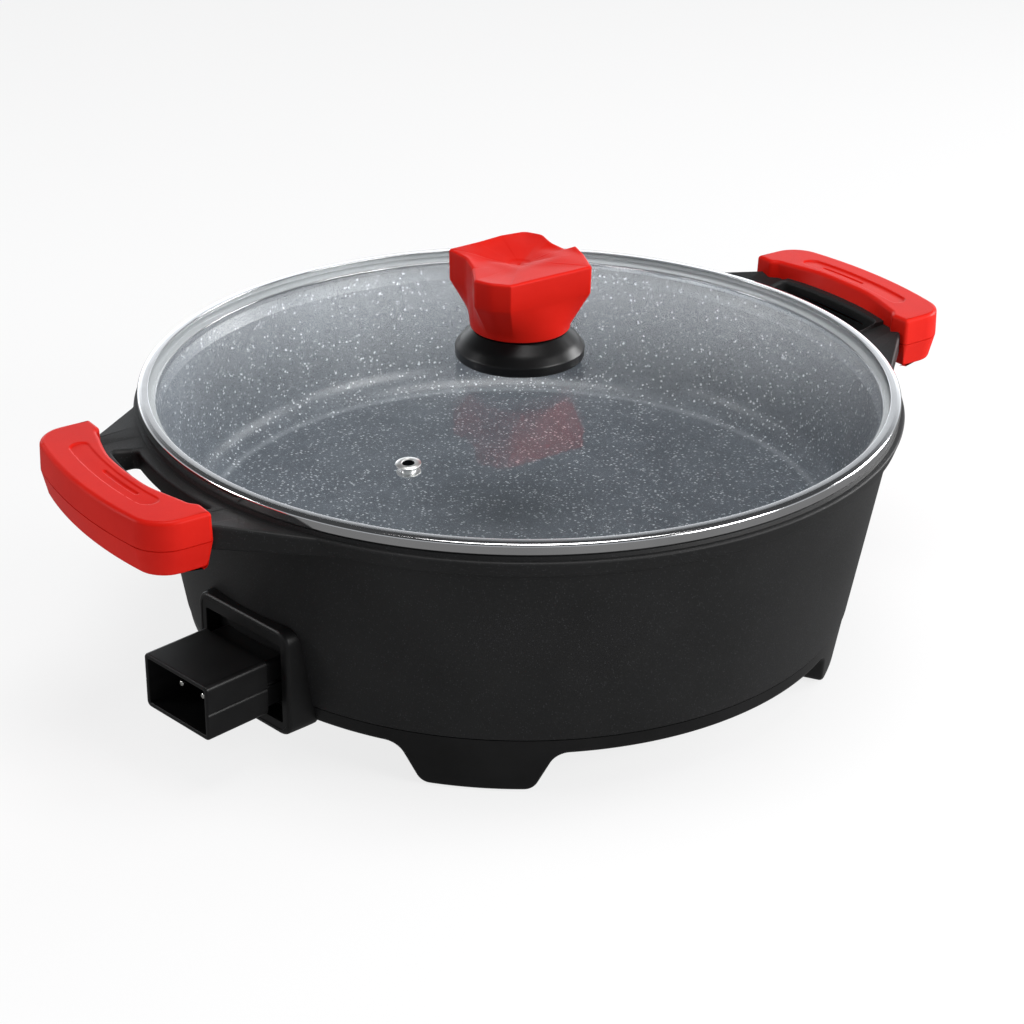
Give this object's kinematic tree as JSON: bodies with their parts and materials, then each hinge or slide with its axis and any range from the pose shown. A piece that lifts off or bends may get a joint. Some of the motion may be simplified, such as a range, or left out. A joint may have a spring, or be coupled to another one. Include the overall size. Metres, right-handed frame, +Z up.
{
  "type": "electric hot pot",
  "caption": "Round electric hot pot with a sloping black pot on short feet, red side grips, a plug-in socket and a loose domed glass lid with a red knob.",
  "frame": {"origin": "on the table under the middle of the pot", "axes": "+Z up, +X through the middle of one grip, the socket points close to -X, the pictured front is -Y"},
  "size_m": [0.441, 0.349, 0.1845],
  "materials": {
    "black_coated_aluminium": "matte",
    "black_plastic": "matte",
    "black_rubber": "matte",
    "grey_sheet_steel": "satin",
    "zinc_screw": "satin",
    "heater_steel": "matte",
    "white_ceramic": "matte",
    "dark_phenolic": "matte",
    "nickel_pin": "polished",
    "clear_glass": "polished",
    "polished_steel": "polished",
    "clear_silicone": "satin",
    "gloss_black_plastic": "gloss",
    "brass_insert": "satin",
    "red_plastic": "satin"
  },
  "bodies": {
    "pot": {"pan_body": "black_coated_aluminium", "base_frame": "black_plastic", "foot_pads": "black_rubber", "bottom_cover": "grey_sheet_steel", "base_screws": "zinc_screw", "heating_element": "heater_steel", "element_seals": "white_ceramic", "heat_shield": "grey_sheet_steel", "heat_shield_screw": "zinc_screw", "socket_plate": "black_plastic", "socket_clamp": "grey_sheet_steel", "socket_screws": "zinc_screw", "shroud_upper": "black_plastic", "shroud_lower": "black_plastic", "pin_carrier": "dark_phenolic", "contact_pins": "nickel_pin", "left_grip_upper": "red_plastic", "left_grip_lower": "red_plastic", "left_grip_screws": "zinc_screw", "right_grip_upper": "red_plastic", "right_grip_lower": "red_plastic", "right_grip_screws": "zinc_screw"},
    "lid": {"lid_glass": "clear_glass", "lid_ring": "polished_steel", "lid_seal_band": "clear_silicone", "vent_eyelet": "polished_steel", "knob_base": "gloss_black_plastic", "knob_insert": "brass_insert", "knob_cap": "red_plastic", "knob_seal_washer": "clear_silicone", "knob_washer": "zinc_screw", "knob_screw": "zinc_screw"}
  },
  "joints": [
    {"name": "lid_lift", "type": "slide", "parent": "pot", "child": "lid", "axis": [0, 0, 1], "range_m": [0, 0.15]}
  ]
}
